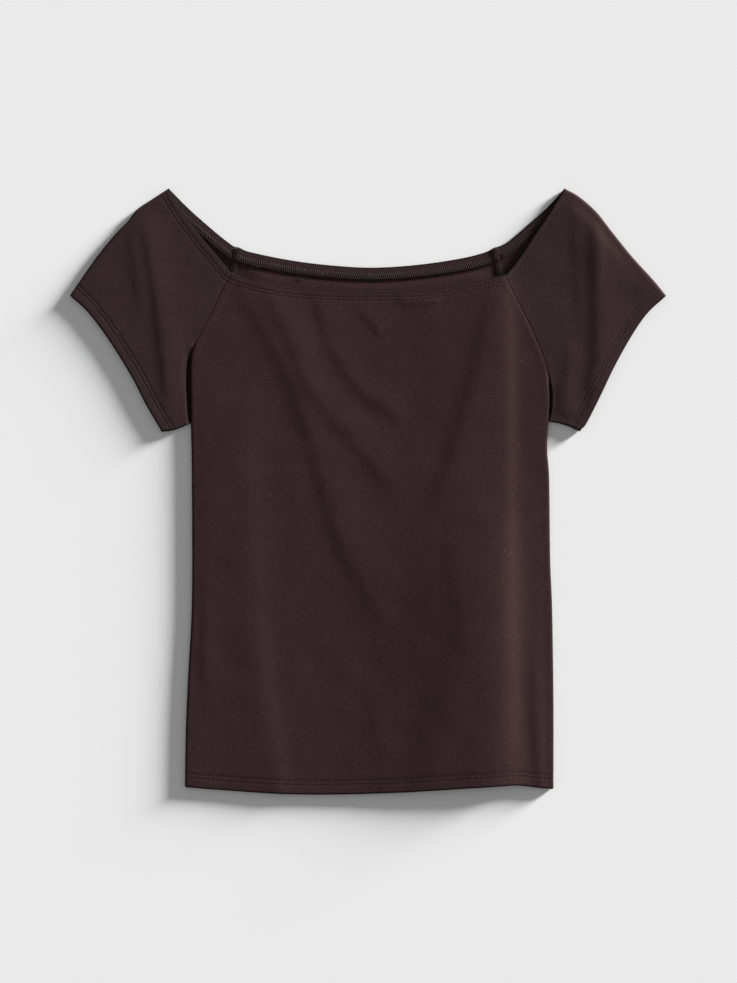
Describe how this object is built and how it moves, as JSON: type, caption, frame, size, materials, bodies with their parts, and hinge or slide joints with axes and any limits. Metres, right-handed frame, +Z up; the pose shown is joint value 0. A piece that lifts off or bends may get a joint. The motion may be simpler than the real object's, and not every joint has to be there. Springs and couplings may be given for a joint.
{
  "type": "off-shoulder top",
  "caption": "Fitted jersey top with a straight off-shoulder neck and short raglan sleeves, laid flat on its back with its front folds showing.",
  "frame": {"origin": "centre of the laid garment's outline, on the surface that it lies on", "axes": "+X towards the wearer's left sleeve, +Y from the hem to the neck, +Z up, out of the front"},
  "size_m": [0.6398, 0.6508, 0.0075],
  "materials": {
    "body_jersey": "matt fine-knit jersey, dark brown",
    "sleeve_jersey": "matt fine-knit jersey, dark brown",
    "thread": "spun sewing thread, dark brown"
  },
  "bodies": {
    "root": {"front": "body_jersey", "back": "body_jersey", "sleeve_right": "sleeve_jersey", "sleeve_left": "sleeve_jersey"}
  },
  "joints": []
}
